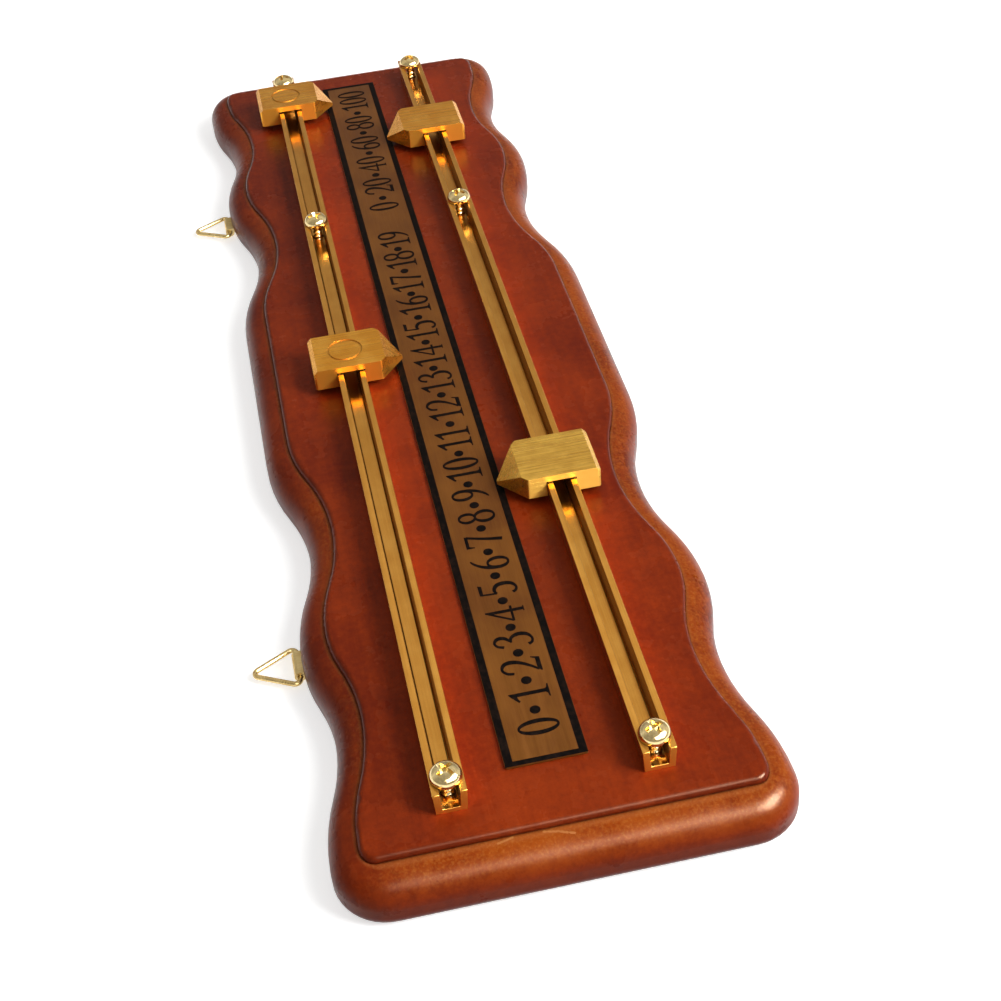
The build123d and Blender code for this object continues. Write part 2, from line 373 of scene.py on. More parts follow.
@dataclass(frozen=True)
class LacqueredWood:
    """Red-brown stained wood under clear lacquer, with painted shade round the step, painted light and shade
    on its edge and field, and a paler rubbed lip.

    Three numbers are a Mottle's size and range. Four are a remap's ends, with places in
    millimetres, apart from the shares and from bead and rubbed_lip, which are four heights.
    """

    name: str = "lacquered_wood"
    stain_deep: Colour = (0.142, 0.0125, 0.0027, 1.0)
    stain_warm: Colour = (0.36, 0.042, 0.0046, 1.0)
    # Painted light, painted sheen and painted shade colours of the rounded edge.
    edge_warm: Colour = (0.37, 0.068, 0.004, 1.0)
    edge_low: Colour = (0.09, 0.006, 0.001, 1.0)
    sheen: Colour = (0.62, 0.23, 0.04, 1.0)
    # Colour of the painted shade on the step's bead and in the crease at its foot.
    groove: Colour = (0.03, 0.0035, 0.0015, 1.0)
    lip: Colour = (0.46, 0.14, 0.035, 1.0)
    chip: Colour = (0.52, 0.19, 0.05, 1.0)
    bare_back: Colour = (0.24, 0.085, 0.035, 1.0)
    gloss_tint: Colour = (1.0, 0.7, 0.46, 1.0)
    gloss: float = 0.1
    fibre_wander: float = 1.2
    clouds: Three = (24.0, 0.34, 0.68)
    pores: Three = (1.6, 0.36, 0.66)
    specks: Three = (0.6, 0.48, 0.7)
    grains: Three = (0.7, 0.46, 0.72)
    smudges: Three = (14.0, 0.35, 0.7)
    tone_shares: Four = (0.16, 0.18, 0.42, 0.22)
    speck_share: float = 0.25
    # Painted glow of light at the near end, painted shade along the upper side, and darker towards the lower
    # side.
    near_end: Four = (-168.0, -183.0, 0.0, 0.1)
    upper_side: Four = (18.0, 44.0, 0.02, -0.2)
    lower_side: Four = (-18.0, -38.0, 0.0, -0.2)
    below_field: Four = (13.25, 13.5, 1.0, 0.0)
    # Where the painted light and sheen fall on the edge (all but the shaded +Y side), then the heights of the
    # lit upper half, the shaded lower half and the sheen's crest.
    worn_side: Four = (34.0, 48.0, 1.0, 0.05)
    upper_half: Four = (7.5, 12.0, 0.0, 1.0)
    lower_half: Four = (3.0, 8.5, 0.6, 0.0)
    crest: Four = (9.5, 12.0, 0.0, 0.3)
    full_warmth: float = 0.7
    # Heights of the painted shade on the step's bead, and how far the painted shade in the crease reaches.
    bead: Four = (13.2, 13.4, 14.7, 14.97)
    bead_share: float = 0.3
    rubbed_lip: Four = (13.13, 13.19, 13.22, 13.3)
    lip_share: Pair = (0.4, 0.3)
    groove_reach: float = 1.5 * MM
    groove_probes: int = 8
    groove_closed: Four = (0.55, 0.82, 0.9, 0.0)
    back: Four = (0.02, 0.2, 1.0, 0.0)
    roughness: float = 0.2
    roughness_shares: Four = (0.06, 0.1, 0.03, 0.35)
    relief: float = 0.04 * MM
    relief_shares: Pair = (0.4, -0.6)
    bump_strength: float = 0.5
    scratches: tuple[Four, ...] = (
        (-188.5, -0.4, -187.4, 2.6), (-187.2, 3.1, -186.5, 6.3), (-187.1, 16.8, -186.3, 13.4),
    )
    scratch_width: float = 0.28
    scratch_fade: Pair = (0.8, 1.4)

    def build(self) -> Material:
        """Makes the material.

        Returns:
            The material.
        """
        material, graph, shader = new_material(self.name)
        height = graph.axes_mm()[2]
        fine, broad = Streaks.on(graph, Lay.FIBRES.value, self.fibre_wander).outputs
        specks = patches(graph, self.specks)
        # The tone starts with a painted glow at the near end and painted shade along the upper side.
        tone = self.stain_strength(graph)
        masks = (fine, broad, patches(graph, self.clouds), patches(graph, self.pores))
        for mask, share in zip(masks, self.tone_shares):
            tone = graph.times_plus(mask, share, tone)
        on_edge = graph.remap(height, *self.below_field)
        colour = graph.blend(graph.remap(tone, 0.0, 1.0), self.stain_deep, self.stain_warm)
        colour = self.warm_edge(graph, colour, height, tone, on_edge)
        colour = graph.blend(graph.times(specks, self.speck_share), colour, self.stain_deep)
        colour = self.stain_step(graph, colour, height, specks)
        for line in self.scratches:
            colour = graph.blend(self.scratch(graph, line, specks), colour, self.chip)
        back = graph.remap(height, *self.back)
        colour = graph.blend(back, colour, graph.blend(tone, self.stain_deep, self.bare_back))
        rough = self.roughness
        masks = (tone, patches(graph, self.smudges), on_edge, back)
        for mask, share in zip(masks, self.roughness_shares):
            rough = graph.times_plus(mask, share, rough)
        relief = graph.times_plus(fine, self.relief_shares[0], graph.times(specks, self.relief_shares[1]))
        finish(
            graph, shader, colour, rough, (relief, self.relief, self.bump_strength),
            Specular_IOR_Level=self.gloss, Specular_Tint=self.gloss_tint,
        )
        return material

    def stain_strength(self, graph: Graph) -> Socket:
        """How much a painted glow of light lightens the near end, and how much darker the wood gets towards
        both long sides: painted shade of the rails on the upper side, and darker towards the lower side.

        Args:
            graph: the material's tree.

        Returns:
            What to add to the tone.
        """
        along, across, _ = graph.axes_mm()
        upper, lower = (graph.remap(across, *side) for side in (self.upper_side, self.lower_side))
        return graph.math("ADD", graph.remap(along, *self.near_end), graph.math("ADD", upper, lower))

    def warm_edge(
        self, graph: Graph, colour: Socket, height: Socket, tone: Socket, on_edge: Socket
    ) -> Socket:
        """Paints light and shade on the rounded edge: a more orange painted lit colour on its upper half,
        fading out on the shaded +Y side, a painted sheen in grains on its crest, and painted shade on its
        lower half.

        Args:
            graph: the material's tree.
            colour: the wood's colour.
            height: the height above the back.
            tone: how warm the stain is.
            on_edge: 1 on the ledge and the rounded edge and 0 on the field.

        Returns:
            The new colour.
        """
        # Painted light on the upper half, painted sheen on the crest, painted shade on the lower half.
        lit = graph.times(on_edge, graph.remap(graph.axes_mm()[1], *self.worn_side))
        upper = graph.times(graph.times(lit, graph.remap(height, *self.upper_half)), tone)
        colour = graph.blend(graph.remap(upper, 0.0, self.full_warmth), colour, self.edge_warm)
        crest = graph.times(lit, graph.remap(height, *self.crest))
        colour = graph.blend(graph.times(crest, patches(graph, self.grains)), colour, self.sheen)
        return graph.blend(graph.remap(height, *self.lower_half), colour, self.edge_low)

    def band(self, graph: Graph, height: Socket, edges: Four) -> Socket:
        """1 between two heights: it rises between the first two edges and falls between the last two."""
        return graph.times(graph.remap(height, *edges[:2]), graph.remap(height, *edges[2:], 1.0, 0.0))

    def stain_step(self, graph: Graph, colour: Socket, height: Socket, specks: Socket) -> Socket:
        """Adds painted shade round the step and the rubbed lip at its foot.

        Args:
            graph: the material's tree.
            colour: the wood's colour.
            height: the height above the back.
            specks: fine patches that break the lip up.

        Returns:
            The new colour.
        """
        # Painted shade: the step's bead is darkened by height, and the crease at its foot by the AO node.
        bead = graph.times(self.band(graph, height, self.bead), self.bead_share)
        colour = graph.blend(bead, colour, self.groove)
        rubbed = graph.times_plus(specks, *self.lip_share)
        colour = graph.blend(graph.times(self.band(graph, height, self.rubbed_lip), rubbed), colour, self.lip)
        hidden = graph.openness(self.groove_reach, self.groove_probes, alone=True)
        return graph.blend(graph.remap(hidden, *self.groove_closed), colour, self.groove)

    def scratch(self, graph: Graph, ends: Four, specks: Socket) -> Socket:
        """A mask round a line between two places.

        Args:
            graph: the material's tree.
            ends: x and y of the line's start and of its end, in millimetres.
            specks: fine patches that fray the line.

        Returns:
            1 on the line and 0 away from it.
        """
        start, run = Vector((*ends[:2], 0.0)), Vector((ends[2] - ends[0], ends[3] - ends[1], 0.0))
        along, across, _ = graph.axes_mm()
        offset = graph.vector("SUBTRACT", graph.add("CombineXYZ", X=along, Y=across).outputs[0], start)
        share = graph.math("DIVIDE", graph.vector("DOT_PRODUCT", offset, run), run.length_squared)
        foot = graph.scaled(run, graph.remap(share, 0.0, 1.0))
        away = graph.vector("LENGTH", graph.vector("SUBTRACT", offset, foot))
        inner, outer = (self.scratch_width * part for part in self.scratch_fade)
        return graph.remap(graph.times_plus(specks, self.scratch_width, away), inner, outer, 1.0, 0.0)


@dataclass(frozen=True)
class Metal:
    """A brushed, rolled or polished metal, brighter where its edges are rubbed and, where asked, with painted
    shade in its hollows and on the faces that look down.
    """

    name: str
    deep: Colour
    bright: Colour
    lay: Lay
    roughness: float = 0.36
    roughness_spread: float = 0.16
    rubbed_roughness: float = -0.06
    relief: float = 0.012 * MM
    bump_strength: float = 0.8
    line_wander: float = 0.4
    line_share: float = 0.55
    wear_reach: float = 0.25 * MM
    wear_strength: float = 5.0
    stains: Three = (7.0, 0.38, 0.68)
    tarnish: float = 0.35
    dull_roughness: float = 0.0
    dull_tone: float = 0.8
    sawn: Pair = (0.86, 0.96)
    leaning: Pair = (-0.03, -0.12)
    probes: int = 6
    # Reach and ranges of the painted shade on the channel's walls and in tight corners, and the roughness
    # added there.
    grime_reach: float = 7.0 * MM
    grime_closed: Four = (0.95, 0.45, 0.0, 0.9)
    grime_sideways: Four = (0.7, 0.95, 0.12, 1.0)
    grime_roughness: float = 0.25
    corner_reach: float = 0.7 * MM
    corner_closed: Four = (0.92, 0.6, 0.0, 0.75)
    # Painted shade on the faces that look down, and the dark colour of all painted shade on the metal.
    raw_under: float = 0.0
    raw_facing: Pair = (-0.6, -0.9)
    raw: Colour = (0.14, 0.06, 0.014, 1.0)
    metallic: float = 1.0
    specular: float = 0.5

    def undersides(self, graph: Graph) -> Socket:
        """How much painted shade a face takes: the ones that look down are darkened."""
        return graph.remap(graph.facing()[2], *self.raw_facing, 0.0, self.raw_under)

    def grime(self, graph: Graph) -> Socket:
        """How much painted shade there is, on the channel's walls and in every tight corner.

        Args:
            graph: the material's tree.

        Returns:
            Its share, from 0 to 1.
        """
        closed = graph.remap(graph.openness(self.grime_reach, self.probes), *self.grime_closed)
        sideways = graph.remap(graph.math("ABSOLUTE", graph.facing()[1]), *self.grime_sideways)
        corner = graph.remap(graph.openness(self.corner_reach, self.probes), *self.corner_closed)
        return graph.math("MAXIMUM", graph.times(closed, sideways), corner)

    def dull_faces(self, graph: Graph) -> Socket:
        """1 on the sawn faces that look along the board and on the flanks that lean over it."""
        sawn = graph.remap(graph.math("ABSOLUTE", graph.facing()[0]), *self.sawn)
        return graph.math("MAXIMUM", sawn, graph.remap(graph.facing()[2], *self.leaning))

    def build(self) -> Material:
        """Makes the material.

        Returns:
            The material.
        """
        material, graph, shader = new_material(self.name)
        fine, broad = Streaks.on(graph, self.lay.value, self.line_wander).outputs
        rubbed = EdgeWear.on(graph, self.wear_reach, self.wear_strength).outputs[0]
        stains = graph.times(patches(graph, self.stains), self.tarnish)
        tone = graph.math("MAXIMUM", graph.times_plus(fine, self.line_share, stains), rubbed)
        rough = graph.times_plus(broad, self.roughness_spread, self.roughness)
        rough = graph.times_plus(rubbed, self.rubbed_roughness, rough)
        if self.dull_roughness:
            dull = self.dull_faces(graph)
            tone = graph.times_plus(dull, graph.math("SUBTRACT", self.dull_tone, tone), tone)
            rough = graph.math("MAXIMUM", rough, graph.times(dull, self.dull_roughness))
        colour = graph.blend(tone, self.deep, self.bright)
        if self.dull_roughness:
            # Painted shade on the channel's walls and in tight corners darkens the colour; the same mask
            # roughens it.
            grime = graph.times(self.grime(graph), graph.math("SUBTRACT", 1.0, dull))
            colour = graph.blend(grime, colour, self.raw)
            rough = graph.times_plus(grime, self.grime_roughness, rough)
        # Painted shade on the faces that look down.
        if self.raw_under:
            colour = graph.blend(self.undersides(graph), colour, self.raw)
        finish(
            graph, shader, colour, rough, (fine, self.relief, self.bump_strength),
            Metallic=self.metallic, Specular_IOR_Level=self.specular,
        )
        return material


@dataclass(frozen=True)
class Patchy:
    """A surface of two tones in soft patches: print, film or plating."""

    name: str
    first: Colour
    second: Colour
    spots: Three
    roughness: float
    roughness_spread: float
    relief: float
    bump_strength: float = 0.5
    metallic: float = 0.0
    specular: float = 0.5
    wear_reach: float = 0.0
    wear_strength: float = 5.0

    def build(self) -> Material:
        """Makes the material.

        Returns:
            The material.
        """
        material, graph, shader = new_material(self.name)
        spots = tone = patches(graph, self.spots)
        if self.wear_reach:
            rubbed = EdgeWear.on(graph, self.wear_reach, self.wear_strength).outputs[0]
            tone = graph.math("MAXIMUM", spots, rubbed)
        rough = graph.times_plus(spots, self.roughness_spread, self.roughness)
        finish(
            graph, shader, graph.blend(tone, self.first, self.second), rough,
            (spots, self.relief, self.bump_strength),
            Metallic=self.metallic, Specular_IOR_Level=self.specular,
        )
        return material


@dataclass(frozen=True)
class Finishes:
    """Every finish of the object, made once."""

    wood: Material = field(default_factory=LacqueredWood().build)
    plate: Material = field(default_factory=Metal(
        "printed_plate", (0.118, 0.035, 0.0033, 1.0), (0.228, 0.082, 0.0092, 1.0), Lay.ROLLED_SHEET,
        roughness=0.34, roughness_spread=0.1, relief=0.008 * MM, bump_strength=0.6, line_wander=0.8,
        line_share=0.4, wear_strength=0.0, stains=(18.0, 0.35, 0.68), tarnish=0.5,
        metallic=0.55, specular=0.2,
    ).build)
    ink: Material = field(default_factory=Patchy(
        "black_print", (0.003, 0.0015, 0.001, 1.0), (0.013, 0.005, 0.002, 1.0), (1.4, 0.45, 0.72),
        roughness=0.45, roughness_spread=0.15, relief=0.006 * MM, specular=0.03,
    ).build)
    film: Material = field(default_factory=Patchy(
        "adhesive", (0.52, 0.45, 0.32, 1.0), (0.3, 0.25, 0.19, 1.0), (3.0, 0.4, 0.65),
        roughness=0.5, roughness_spread=0.2, relief=0.01 * MM,
    ).build)
    zinc: Material = field(default_factory=Patchy(
        "zinc_steel", (0.34, 0.33, 0.29, 1.0), (0.66, 0.64, 0.56, 1.0), (1.2, 0.35, 0.65),
        roughness=0.45, roughness_spread=-0.15, relief=0.008 * MM, metallic=1.0, wear_reach=0.15 * MM,
    ).build)
    rail: Material = field(default_factory=Metal(
        "rail_brass", (0.7, 0.3, 0.044, 1.0), (0.96, 0.5, 0.105, 1.0), Lay.ALONG_BOARD,
        roughness=0.14, roughness_spread=0.1, relief=0.006 * MM, dull_roughness=0.33, dull_tone=0.1,
    ).build)
    pointer: Material = field(default_factory=Metal(
        "pointer_brass", (0.74, 0.3, 0.026, 1.0), (1.0, 0.52, 0.083, 1.0), Lay.ACROSS_BOARD,
        roughness=0.25, roughness_spread=0.05, relief=0.015 * MM, wear_reach=0.4 * MM,
        line_share=0.26, tarnish=0.5, dull_roughness=0.34, dull_tone=0.4, raw_under=0.9,
    ).build)
    brushed: Material = field(default_factory=Metal(
        "brushed_pointer_brass", (0.38, 0.15, 0.013, 1.0), (1.0, 0.62, 0.115, 1.0), Lay.COARSE_ACROSS,
        roughness=0.26, roughness_spread=0.05, relief=0.07 * MM, wear_reach=0.4 * MM,
        line_share=0.95, tarnish=0.3, dull_roughness=0.45, raw_under=0.9,
    ).build)
    screw: Material = field(default_factory=Metal(
        "polished_brass", (0.72, 0.52, 0.21, 1.0), (0.98, 0.84, 0.5, 1.0), Lay.ROUND_WIRE,
        roughness=0.1, roughness_spread=0.08, relief=0.004 * MM,
    ).build)
    wire: Material = field(default_factory=Metal(
        "plated_wire", (0.52, 0.33, 0.1, 1.0), (0.93, 0.78, 0.42, 1.0), Lay.ROUND_WIRE,
        roughness=0.2, relief=0.006 * MM,
    ).build)
    strap: Material = field(default_factory=Metal(
        "plated_strap", (0.5, 0.32, 0.1, 1.0), (0.9, 0.74, 0.38, 1.0), Lay.ACROSS_BOARD,
        roughness=0.28, relief=0.008 * MM,
    ).build)


def dress(node: str, material: Material) -> Piece:
    """Puts a material on a CAD node.

    Args:
        node: the node's name.
        material: its finish.

    Returns:
        The node's object.
    """
    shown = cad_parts[node]
    for slot in shown.material_slots:
        slot.material = material
    LOG.info("dressed %s in %s", node, material.name)
    return shown


def ease_edges(shown: Piece, radius: float, weld_share: float = 0.02, sharp: float = 25) -> None:
    """Rounds the sharp edges of a CAD node a little, as tumbling leaves them.

    Args:
        shown: the node's object.
        radius: the size of the rounding.
        weld_share: corners nearer than this share of the radius are joined first.
        sharp: edges that turn by more than this many degrees are rounded.
    """
    weld = shown.modifiers.new("join_faces", "WELD")
    weld.merge_threshold = radius * weld_share
    bevel = shown.modifiers.new("eased_edges", "BEVEL")
    bevel.width = radius
    bevel.segments = 2
    bevel.limit_method = "ANGLE"
    bevel.angle_limit = math.radians(sharp)
    bevel.use_clamp_overlap = True
    normals = shown.modifiers.new("face_normals", "WEIGHTED_NORMAL")
    normals.keep_sharp = False
    normals.weight = 100


def tube(bm: Mesh, rings: list[list[bmesh.types.BMVert]], capped: bool = True) -> None:
    """Joins rings of as many corners each.

    Args:
        bm: the mesh.
        rings: the rings, in order.
        capped: whether the first and the last ring are closed with a face.
    """
    if capped:
        bm.faces.new(rings[0][::-1])
        bm.faces.new(rings[-1])
    for low, high in zip(rings, rings[1:]):
        for i, corner in enumerate(low):
            j = (i + 1) % len(low)
            bm.faces.new((corner, low[j], high[j], high[i]))


def new_piece(name: str, bm: Mesh, material: Material, crease: float = 30) -> Piece:
    """Turns a built mesh into a shown piece.

    Args:
        name: the piece's name.
        bm: the mesh, which is freed.
        material: its finish.
        crease: edges that turn by more than this many degrees stay sharp.

    Returns:
        The new object.
    """
    bmesh.ops.recalc_face_normals(bm, faces=bm.faces)
    mesh = bpy.data.meshes.new(name)
    bm.to_mesh(mesh)
    bm.free()
    mesh.materials.append(material)
    mesh.shade_smooth()
    mesh.set_sharp_from_angle(angle=math.radians(crease))
    piece = bpy.data.objects.new(name, mesh)
    bpy.context.scene.collection.objects.link(piece)
    return piece


@dataclass(frozen=True)
class Stroke:
    """One pull of the pen through (x, y, width) points, a little wider than they say."""

    points: tuple[Three, ...]
    closed: bool = False
    steps: int = 8
    spread: float = 0.12

    def samples(self) -> list[Vector]:
        """Samples the smooth line through the stroke's points.

        Returns:
            Points along it, with the width as z.
        """
        knots = [Vector(p) for p in self.points]
        if len(knots) == 2:
            return knots
        count = len(knots)
        line = []
        for i in range(count if self.closed else count - 1):
            before, after = (i - 1) % count, (i + 2) % count
            if not self.closed:
                before, after = max(i - 1, 0), min(i + 2, count - 1)
            a, b, c, d = knots[before], knots[i], knots[(i + 1) % count], knots[after]
            for step in range(self.steps):
                t = step / self.steps
                bend = (2 * a - 5 * b + 4 * c - d) * t * t + (3 * b - a - 3 * c + d) * t**3
                line.append(b + 0.5 * ((c - a) * t + bend))
        if not self.closed:
            line.append(knots[-1])
        return line

    def sides(self) -> list[tuple[Pair, Pair]]:
        """Widens the line to both sides.

        Returns:
            A point on the left edge and one on the right for each sample.
        """
        line = self.samples()
        pairs = []
        for i, point in enumerate(line):
            after = line[(i + 1) % len(line)] if self.closed else line[min(i + 1, len(line) - 1)]
            before = line[i - 1] if self.closed or i else line[0]
            run = (after - before).to_2d().normalized()
            half = Vector((-run.y, run.x)) * (point.z + self.spread) / 2
            pairs.append(((point.x + half.x, point.y + half.y), (point.x - half.x, point.y - half.y)))
        return pairs


@dataclass(frozen=True)
class Block:
    """A straight-sided part of a digit: its corners, counter-clockwise."""

    corners: tuple[Pair, ...]


@dataclass(frozen=True)
class Digit:
    """One digit, ten millimetres high on its base line."""

    width: float
    parts: tuple[Stroke | Block, ...]
    height: ClassVar[float] = 10.0

    def turned(self) -> "Digit":
        """Turns a digit of strokes alone by half a turn, as a six turns into a nine.

        Returns:
            The turned digit.
        """
        parts = []
        for part in self.parts:
            points = [(self.width - x, self.height - y, width) for x, y, width in part.points]
            parts.append(Stroke(tuple(points), part.closed))
        return Digit(self.width, tuple(parts))


def oval(centre: Pair, half: Pair, thick: float, thin: float, knots: int = 12, swell: float = 1.3) -> Stroke:
    """A closed stroke round an oval, thick at its sides and thin at top and bottom.

    Args:
        centre: the oval's middle.
        half: half its width and half its height, to the stroke's middle.
        thick: the stroke's width at the sides.
        thin: the stroke's width at top and bottom.
        knots: how many points it goes through.
        swell: how quickly it thins out away from the sides.

    Returns:
        The stroke.
    """
    points = []
    for i in range(knots):
        turn = math.tau * i / knots
        width = thin + (thick - thin) * abs(math.cos(turn)) ** swell
        points.append((centre[0] + half[0] * math.cos(turn), centre[1] + half[1] * math.sin(turn), width))
    return Stroke(tuple(points), closed=True, steps=4)


ONE = Digit(4.6, (
    Block(((2.05, 0.2), (3.2, 0.2), (3.2, 9.95), (2.95, 9.95), (2.05, 9.2))),
    Block(((0.1, 7.85), (0.4, 7.4), (1.2, 7.8), (2.1, 7.95), (2.6, 9.75))),
    Block((
        (0.5, 0.0), (4.6, 0.0), (4.6, 0.32), (3.6, 0.5), (3.2, 0.95), (2.05, 0.95), (1.6, 0.5), (0.5, 0.32),
    )),
))
SIX = Digit(4.6, (
    oval((2.33, 2.97), (1.78, 2.7), 1.05, 0.5),
    Stroke(((4.2, 9.95, 0.3), (3.1, 9.25, 0.6), (1.7, 7.6, 0.85), (0.75, 5.3, 1.05), (0.56, 3.0, 1.05))),
))
DIGITS = {
    "0": Digit(4.85, (oval((2.42, 5.0), (1.85, 4.76), 1.15, 0.48),)),
    "1": ONE,
    "2": Digit(5.2, (
        Stroke((
            (0.45, 7.0, 0.75), (0.9, 8.7, 0.72), (2.4, 9.68, 0.6), (4.05, 8.8, 1.0),
            (4.35, 6.9, 1.15), (3.6, 4.7, 0.9), (2.1, 2.5, 0.65), (0.55, 0.75, 0.5),
        )),
        Block(((0.1, 0.0), (4.7, 0.0), (5.2, 2.15), (4.9, 2.2), (4.35, 1.12), (1.0, 1.12), (0.1, 0.35))),
    )),
    "3": Digit(5.0, (
        Stroke((
            (0.65, 7.6, 0.8), (1.3, 9.1, 0.62), (2.6, 9.7, 0.55), (3.85, 8.7, 1.0),
            (3.65, 7.0, 0.95), (2.0, 5.55, 0.42),
        )),
        Stroke((
            (1.9, 5.6, 0.42), (3.5, 5.3, 0.75), (4.4, 3.5, 1.15), (3.95, 1.4, 1.0),
            (2.4, 0.3, 0.55), (1.0, 0.5, 0.62), (0.4, 1.5, 0.85),
        )),
    )),
    "4": Digit(5.5, (
        Stroke(((4.15, 9.8, 0.45), (0.2, 3.3, 0.55))),
        Block(((0.0, 2.95), (5.5, 2.95), (5.5, 3.6), (0.0, 3.6))),
        Block(((3.33, 0.2), (4.35, 0.2), (4.35, 9.95), (3.95, 9.95), (3.33, 9.0))),
        Block(((2.9, 0.0), (4.75, 0.0), (4.75, 0.3), (2.9, 0.3))),
    )),
    "5": Digit(4.8, (
        Block(((0.85, 9.0), (4.2, 9.0), (4.65, 10.0), (0.85, 9.9))),
        Stroke(((1.05, 9.5, 0.5), (0.78, 5.6, 0.5))),
        Stroke((
            (0.72, 5.6, 0.5), (2.1, 6.0, 0.8), (3.7, 5.1, 1.1), (4.15, 3.2, 1.2),
            (3.65, 1.3, 1.0), (2.2, 0.3, 0.55), (0.95, 0.6, 0.65), (0.42, 1.5, 0.85),
        )),
    )),
    "6": SIX,
    "7": Digit(5.0, (
        Block(((0.1, 9.0), (4.6, 9.0), (5.0, 9.9), (0.1, 9.9))),
        Block(((0.1, 7.7), (0.45, 7.7), (0.9, 9.1), (0.1, 9.3))),
        Stroke(((4.55, 9.4, 0.7), (3.1, 4.8, 0.85), (2.1, 0.0, 1.15))),
    )),
    "8": Digit(5.0, (
        oval((2.5, 7.6), (1.68, 2.16), 0.95, 0.5),
        oval((2.5, 2.83), (2.0, 2.6), 1.05, 0.5),
    )),
    "9": SIX.turned(),
}


@dataclass
class NumberPlate:
    """The printed strip between the rails: border, numbers and dots in black on bronze-brown metal."""

    ink_height: float = 0.03 * MM
    ink_sink: float = 0.01 * MM
    layer: float = 0.002 * MM
    border_side: float = 2.0 * MM
    border_end: float = 1.5 * MM
    border_inset: float = 0.05 * MM
    base_line: float = -3.92 * MM
    digit_gap_mm: float = 0.35
    dot_radius: float = 1.3 * MM
    dot_line: float = 0.75 * MM
    dot_corners: int = 32
    units_mm: tuple[float, ...] = (
        -158.3, -147.8, -138.4, -129.4, -119.95, -110.5, -100.7, -91.5, -81.9, -72.3,
        -61.2, -47.4, -33.2, -19.4, -5.85, 7.7, 21.75, 35.0, 48.7, 61.9,
    )
    tens_mm: tuple[float, ...] = (83.4, 97.4, 113.05, 128.8, 144.35, 162.1)
    top: float = field(init=False, default=0.0)

    def heights(self, order: int = 0) -> Pair:
        """The foot and the face of the print, which is a little higher for each order."""
        return self.top - self.ink_sink, self.top + self.ink_height + self.layer * order

    def prism(self, bm: Mesh, outline: list[Pair], order: int) -> None:
        """Adds one closed flat piece of print.

        Args:
            bm: the mesh.
            outline: its corners in metres.
            order: how many pieces it may lie over.
        """
        tube(bm, [[bm.verts.new((x, y, z)) for x, y in outline] for z in self.heights(order)])

    def ribbon(self, bm: Mesh, stroke: Stroke, left_mm: float, order: int) -> None:
        """Adds one stroke as a closed ring or strip.

        Args:
            bm: the mesh.
            stroke: the stroke.
            left_mm: where its digit starts along the scale.
            order: how many pieces it may lie over.
        """
        foot, face = self.heights(order)
        rows = []
        for a, b in stroke.sides():
            corners = ((a, foot), (a, face), (b, face), (b, foot))
            rows.append([
                bm.verts.new(((left_mm + x) * MM, self.base_line + y * MM, z)) for (x, y), z in corners
            ])
        tube(bm, rows + rows[:1] if stroke.closed else rows, capped=not stroke.closed)

    def number(self, text: str, centre_mm: float) -> tuple[Mesh, float, float]:
        """Builds one number.

        Args:
            text: its digits.
            centre_mm: where its middle lies along the scale.

        Returns:
            The mesh and the number's left and right ends in millimetres.
        """
        digits = [DIGITS[c] for c in text]
        width = sum(d.width for d in digits) + self.digit_gap_mm * (len(digits) - 1)
        left = start = centre_mm - width / 2
        bm = bmesh.new()
        for digit in digits:
            for order, part in enumerate(digit.parts):
                if isinstance(part, Block):
                    outline = [((left + x) * MM, self.base_line + y * MM) for x, y in part.corners]
                    self.prism(bm, outline, order)
                else:
                    self.ribbon(bm, part, left, order)
            left += digit.width + self.digit_gap_mm
        return bm, start, start + width

    def keep(self, name: str, bm: Mesh, ink: Material) -> None:
        """Makes a piece of print ride with the board.

        Args:
            name: the piece's name.
            bm: its mesh.
            ink: its finish.
        """
        piece = new_piece(name, bm, ink)
        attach(piece, ROOT_BODY)
        LOG.info("printed %s", name)

    def dot(self, name: str, x_mm: float, ink: Material) -> None:
        """Prints one round dot.

        Args:
            name: the piece's name.
            x_mm: where it lies along the scale.
            ink: its finish.
        """
        turns = [math.tau * i / self.dot_corners for i in range(self.dot_corners)]
        r = self.dot_radius
        bm = bmesh.new()
        self.prism(bm, [(x_mm * MM + r * math.cos(t), self.dot_line + r * math.sin(t)) for t in turns], 0)
        self.keep(name, bm, ink)

    def scale(self, name: str, numbers: range, centres_mm: tuple[float, ...], ink: Material) -> None:
        """Prints one run of numbers with a dot midway between each two.

        Args:
            name: what the names of its pieces start with.
            numbers: the numbers.
            centres_mm: where the middle of each lies along the scale.
            ink: the finish.
        """
        end = None
        for value, centre in zip(numbers, centres_mm):
            bm, left, right = self.number(str(value), centre)
            self.keep(f"{name}_{value}", bm, ink)
            if end is not None:
                self.dot(f"{name}_dot_before_{value}", (end + left) / 2, ink)
            end = right

    def border(self, ink: Material) -> None:
        """Prints the black band round the plate's edge.

        Args:
            ink: its finish.
        """
        low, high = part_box("number_plate")
        foot, face = self.heights()
        outer, inner = (self.border_inset, self.border_inset), (self.border_end, self.border_side)
        bm = bmesh.new()
        rings = []
        for (dx, dy), z in ((outer, foot), (outer, face), (inner, face), (inner, foot)):
            left, right, bottom, top = low.x + dx, high.x - dx, low.y + dy, high.y - dy
            corners = ((left, bottom), (right, bottom), (right, top), (left, top))
            rings.append([bm.verts.new((x, y, z)) for x, y in corners])
        tube(bm, rings + rings[:1], capped=False)
        self.keep("scale_border", bm, ink)

    def build(self, finishes: Finishes) -> None:
        """Dresses the plate and prints on it.

        Args:
            finishes: the object's finishes.
        """
        self.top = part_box("number_plate")[1].z
        dress("number_plate", finishes.plate)
        dress("plate_adhesive", finishes.film)
        self.border(finishes.ink)
        self.scale("unit", range(20), self.units_mm, finishes.ink)
        self.scale("ten", range(0, 101, 20), self.tens_mm, finishes.ink)


